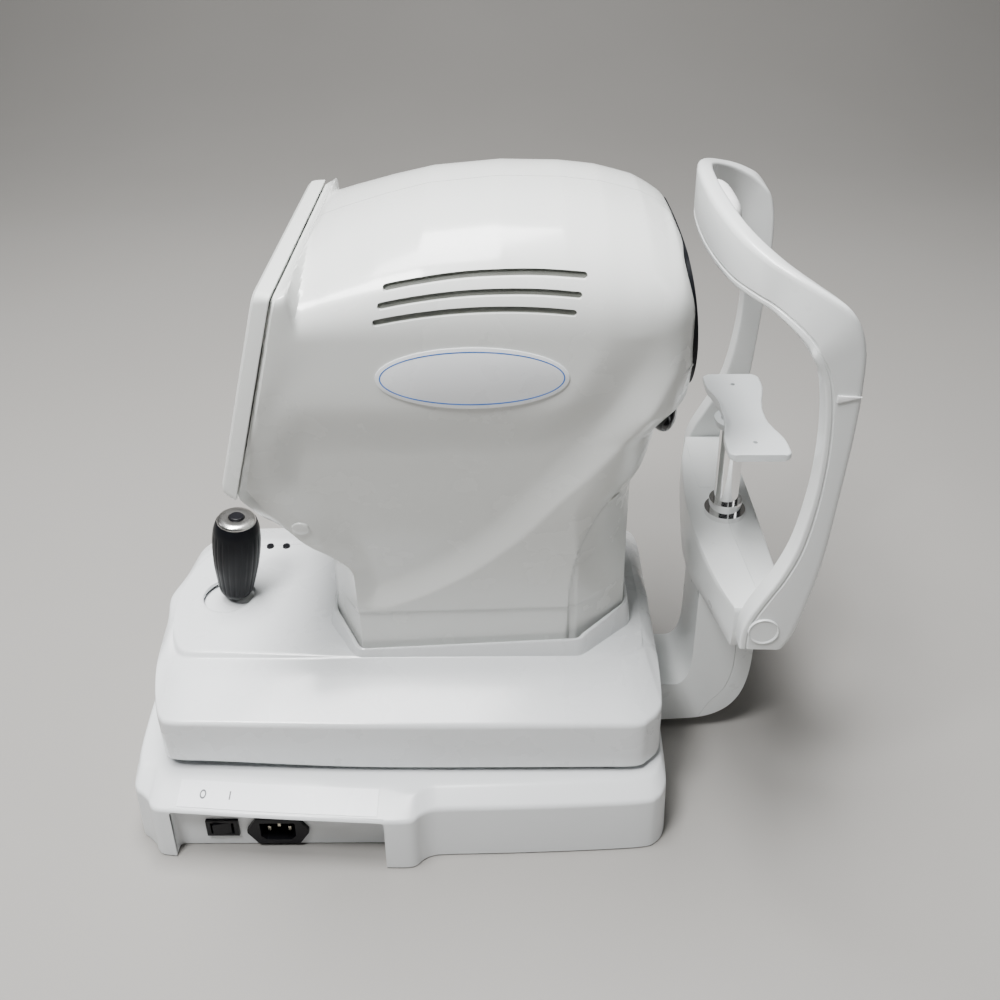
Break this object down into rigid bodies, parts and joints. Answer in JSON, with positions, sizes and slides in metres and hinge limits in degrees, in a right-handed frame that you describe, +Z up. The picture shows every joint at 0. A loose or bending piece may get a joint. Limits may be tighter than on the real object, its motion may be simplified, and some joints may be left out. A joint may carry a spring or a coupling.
{
  "type": "autorefractor",
  "caption": "Table-top eye tester: measuring head with monitor on a joystick-driven stage, facing a chin rest and forehead frame.",
  "frame": {"origin": "middle of the footprint, on the table surface under the rubber feet", "axes": "+X from the operator to the patient, +Y to the operator's left, +Z up"},
  "size_m": [0.461, 0.289, 0.438],
  "materials": {
    "base_white": "moulded, fine satin gloss",
    "stage_white": "moulded, smooth gloss",
    "head_white": "sprayed, smooth gloss",
    "arm_white": "moulded, satin gloss",
    "chin_white": "smooth satin",
    "pad_white": "soft silicone",
    "label_white": "printed film",
    "mark_grey": "moulded",
    "rubber_black": "ribbed soft rubber",
    "black_plastic": "fine spark texture",
    "chrome": "polished",
    "ground_steel": "ground",
    "plate_steel": "zinc plated sheet",
    "cast_alloy": "machined",
    "inner_black": "plain",
    "bearing_bronze": "turned",
    "brass_pins": "nickel plated",
    "screen_glass": "glossy black panel",
    "lens_glass": "coated",
    "paper": "thermal paper"
  },
  "bodies": {
    "base": {"base_cover": "base_white", "base_plate": "plate_steel", "rubber_feet": "rubber_black", "base_screws": "ground_steel", "rack_rails": "ground_steel", "friction_plate": "inner_black", "power_inlet": "black_plastic", "inlet_pins": "brass_pins", "switch_frame": "black_plastic", "port_label": "label_white", "power_supply": "plate_steel", "neck_shell": "arm_white", "neck_cover": "arm_white", "chin_bar": "arm_white", "bar_cover": "arm_white", "chin_collar": "chrome", "chin_gearmotor": "inner_black", "forehead_frame": "arm_white", "forehead_pad": "pad_white", "frame_caps": "arm_white", "frame_screws": "ground_steel", "eye_marks": "mark_grey"},
    "rocker": {"power_rocker": "black_plastic"},
    "chin_rest": {"chin_post": "chrome", "chin_plate": "chin_white"},
    "chin_drive": {"chin_screw": "ground_steel"},
    "carriage": {"carriage_frame": "cast_alloy", "cross_rods": "ground_steel"},
    "axle": {"cross_axle": "ground_steel"},
    "stage": {"stage_frame": "cast_alloy", "stage_cover": "stage_white", "cover_screws": "ground_steel", "slide_bushes": "bearing_bronze", "lift_columns": "ground_steel", "printer_case": "inner_black"},
    "gimbal": {"gimbal_ring": "ground_steel"},
    "stick": {"joystick_shaft": "ground_steel", "joystick_dome": "stage_white"},
    "grip": {"joystick_grip": "rubber_black", "joystick_cap": "chrome"},
    "measure_button": {"joystick_button": "black_plastic"},
    "chin_up": {"chin_up_button": "black_plastic"},
    "chin_down": {"chin_down_button": "black_plastic"},
    "door": {"printer_door": "stage_white"},
    "roll": {"paper_roll": "paper"},
    "lift_drive": {"lift_screw": "ground_steel"},
    "head": {"head_shell_right": "head_white", "head_shell_left": "head_white", "monitor_bezel": "head_white", "lcd_screen": "screen_glass", "front_panel": "black_plastic", "front_gasket": "rubber_black", "kerato_ring": "black_plastic", "window_lens": "lens_glass", "objective_barrel": "cast_alloy", "camera_module": "inner_black", "optical_bench": "cast_alloy", "lift_block": "cast_alloy", "plug_caps": "head_white", "side_badges": "label_white"}
  },
  "joints": [
    {"name": "power_switch", "type": "hinge", "parent": "base", "child": "rocker", "pos_m": [-0.1605, -0.121, 0.0185], "axis": [0, 0, 1], "range_deg": [-13, 0]},
    {"name": "chin_height", "type": "slide", "parent": "base", "child": "chin_rest", "axis": [0, 0, 1], "range_m": [-0.05, 0.012]},
    {"name": "chin_screw_turn", "type": "hinge", "parent": "base", "child": "chin_drive", "pos_m": [0.19, 0, 0.1], "axis": [0, 0, 1], "range_deg": [-4502, 1082]},
    {"name": "stage_fore_aft", "type": "slide", "parent": "base", "child": "carriage", "axis": [1, 0, 0], "range_m": [-0.034, 0.006]},
    {"name": "axle_turn", "type": "hinge", "parent": "carriage", "child": "axle", "pos_m": [-0.01, 0, 0.025], "axis": [0, 1, 0], "range_deg": [-196, 36]},
    {"name": "stage_lateral", "type": "slide", "parent": "carriage", "child": "stage", "axis": [0, 1, 0], "range_m": [-0.04, 0.04]},
    {"name": "head_lift", "type": "slide", "parent": "stage", "child": "head", "axis": [0, 0, 1], "range_m": [-0.013, 0.017]},
    {"name": "lift_screw_turn", "type": "hinge", "parent": "stage", "child": "lift_drive", "pos_m": [-0.02, 0, 0.1], "axis": [0, 0, 1], "range_deg": [-1172, 1532]},
    {"name": "stick_fore_aft", "type": "hinge", "parent": "stage", "child": "gimbal", "pos_m": [-0.173, 0, 0.068], "axis": [0, 1, 0], "range_deg": [-18, 4]},
    {"name": "stick_lateral", "type": "hinge", "parent": "gimbal", "child": "stick", "pos_m": [-0.173, 0, 0.068], "axis": [0.9925, 0, -0.1219], "range_deg": [-11, 11]},
    {"name": "grip_turn", "type": "hinge", "parent": "stick", "child": "grip", "pos_m": [-0.173, 0, 0.068], "axis": [0.1219, 0, 0.9925], "range_deg": [-294, 384]},
    {"name": "measure_press", "type": "slide", "parent": "grip", "child": "measure_button", "axis": [-0.1219, 0, -0.9925], "range_m": [0, 0.0015], "stiffness_N_per_m": 600},
    {"name": "chin_up_press", "type": "slide", "parent": "stage", "child": "chin_up", "axis": [0, 0, -1], "range_m": [0, 0.0012], "stiffness_N_per_m": 600},
    {"name": "chin_down_press", "type": "slide", "parent": "stage", "child": "chin_down", "axis": [0, 0, -1], "range_m": [0, 0.0012], "stiffness_N_per_m": 600},
    {"name": "printer_door_swing", "type": "hinge", "parent": "stage", "child": "door", "pos_m": [-0.073, 0.06922, 0.10911], "axis": [1, 0, 0], "range_deg": [0, 75]},
    {"name": "paper_unwind", "type": "hinge", "parent": "stage", "child": "roll", "pos_m": [-0.073, 0.077, 0.08], "axis": [1, 0, 0], "continuous": true}
  ],
  "couplings": [
    {"joint": "axle_turn", "follows": "stage_fore_aft", "rad_per_m": 100},
    {"joint": "lift_screw_turn", "follows": "head_lift", "rad_per_m": 1570.8},
    {"joint": "grip_turn", "follows": "head_lift", "rad_per_m": 392.7},
    {"joint": "chin_screw_turn", "follows": "chin_height", "rad_per_m": 1570.8}
  ]
}
